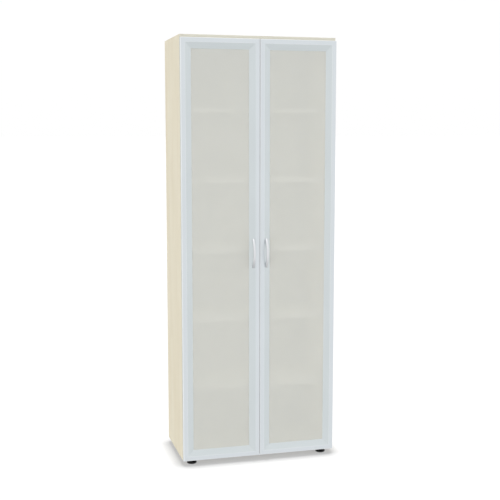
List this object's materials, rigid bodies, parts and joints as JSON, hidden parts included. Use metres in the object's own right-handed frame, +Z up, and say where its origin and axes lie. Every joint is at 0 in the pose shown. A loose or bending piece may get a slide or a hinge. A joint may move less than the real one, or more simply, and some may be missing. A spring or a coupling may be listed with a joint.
{
  "type": "bookcase with glass doors",
  "caption": "Tall office bookcase on levelling feet: a birch board carcass with shelves behind satin glass doors framed in aluminium, each hinged at the side with a bow handle.",
  "frame": {"origin": "on the floor, in the middle of the cabinet's whole width and of its depth with handles", "axes": "+Z up along the height, +Y from the doors to the back, +X to the right as seen from the front"},
  "size_m": [0.8, 0.45, 2.157],
  "materials": {
    "birch_board": "light birch melamine, satin, upright grain",
    "birch_edge": "light birch ABS edge band",
    "zinc_steel": "bright zinc plate",
    "beech_dowel": "plain beech",
    "clear_bumper": "soft clear plastic",
    "black_plastic": "moulded, fine grain",
    "cream_plastic": "smooth moulded cap",
    "silver_aluminium": "silver anodised, satin",
    "satin_glass": "satin etched, nearly opaque",
    "grey_rubber": "matt extruded",
    "satin_nickel": "satin metal",
    "nickel_steel": "nickel-plated sheet steel"
  },
  "bodies": {
    "carcass": {"side_panel_left": "birch_board", "side_panel_right": "birch_board", "top_board": "birch_board", "bottom_board": "birch_board", "side_edge_left": "birch_edge", "side_edge_right": "birch_edge", "top_edge": "birch_edge", "bottom_edge": "birch_edge", "back_panel": "birch_board", "shelf_1": "birch_board", "shelf_2": "birch_board", "shelf_3": "birch_board", "shelf_4": "birch_board", "shelf_5": "birch_board", "shelf_edges": "birch_edge", "shelf_pins": "zinc_steel", "cam_bolts": "zinc_steel", "cams": "zinc_steel", "dowels": "beech_dowel", "door_bumpers": "clear_bumper", "foot_sleeves": "black_plastic", "foot_hole_caps": "cream_plastic", "hinge_plates_left": "nickel_steel", "hinge_plates_right": "nickel_steel", "hinge_plate_screws_left": "zinc_steel", "hinge_plate_screws_right": "zinc_steel", "hinge_arms_left": "nickel_steel", "hinge_arms_right": "nickel_steel", "hinge_arm_screws_left": "zinc_steel", "hinge_arm_screws_right": "zinc_steel"},
    "foot_front_left": {"foot_front_left": "black_plastic"},
    "foot_front_right": {"foot_front_right": "black_plastic"},
    "foot_rear_left": {"foot_rear_left": "black_plastic"},
    "foot_rear_right": {"foot_rear_right": "black_plastic"},
    "door_left": {"door_left_hinge_stile": "silver_aluminium", "door_left_meeting_stile": "silver_aluminium", "door_left_glass": "satin_glass", "door_left_gasket": "grey_rubber", "door_left_corner_brackets": "zinc_steel", "door_left_handle": "satin_nickel", "door_left_handle_screws": "zinc_steel", "door_left_hinge_cups": "nickel_steel", "door_left_cup_screws": "zinc_steel", "hinge_links_left": "nickel_steel", "door_left_top_rail": "silver_aluminium", "door_left_bottom_rail": "silver_aluminium"},
    "door_right": {"door_right_hinge_stile": "silver_aluminium", "door_right_meeting_stile": "silver_aluminium", "door_right_glass": "satin_glass", "door_right_gasket": "grey_rubber", "door_right_corner_brackets": "zinc_steel", "door_right_handle": "satin_nickel", "door_right_handle_screws": "zinc_steel", "door_right_hinge_cups": "nickel_steel", "door_right_cup_screws": "zinc_steel", "hinge_links_right": "nickel_steel", "door_right_top_rail": "silver_aluminium", "door_right_bottom_rail": "silver_aluminium"}
  },
  "joints": [
    {"name": "door_left_hinge", "type": "hinge", "parent": "carcass", "child": "door_left", "pos_m": [-0.394, -0.192, 1.084], "axis": [0, 0, -1], "range_deg": [0, 110]},
    {"name": "door_right_hinge", "type": "hinge", "parent": "carcass", "child": "door_right", "pos_m": [0.394, -0.192, 1.084], "axis": [0, 0, 1], "range_deg": [0, 110]},
    {"name": "foot_front_left_screw", "type": "slide", "parent": "carcass", "child": "foot_front_left", "axis": [0, 0, -1], "range_m": [0, 0.01]},
    {"name": "foot_front_right_screw", "type": "slide", "parent": "carcass", "child": "foot_front_right", "axis": [0, 0, -1], "range_m": [0, 0.01]},
    {"name": "foot_rear_left_screw", "type": "slide", "parent": "carcass", "child": "foot_rear_left", "axis": [0, 0, -1], "range_m": [0, 0.01]},
    {"name": "foot_rear_right_screw", "type": "slide", "parent": "carcass", "child": "foot_rear_right", "axis": [0, 0, -1], "range_m": [0, 0.01]}
  ]
}
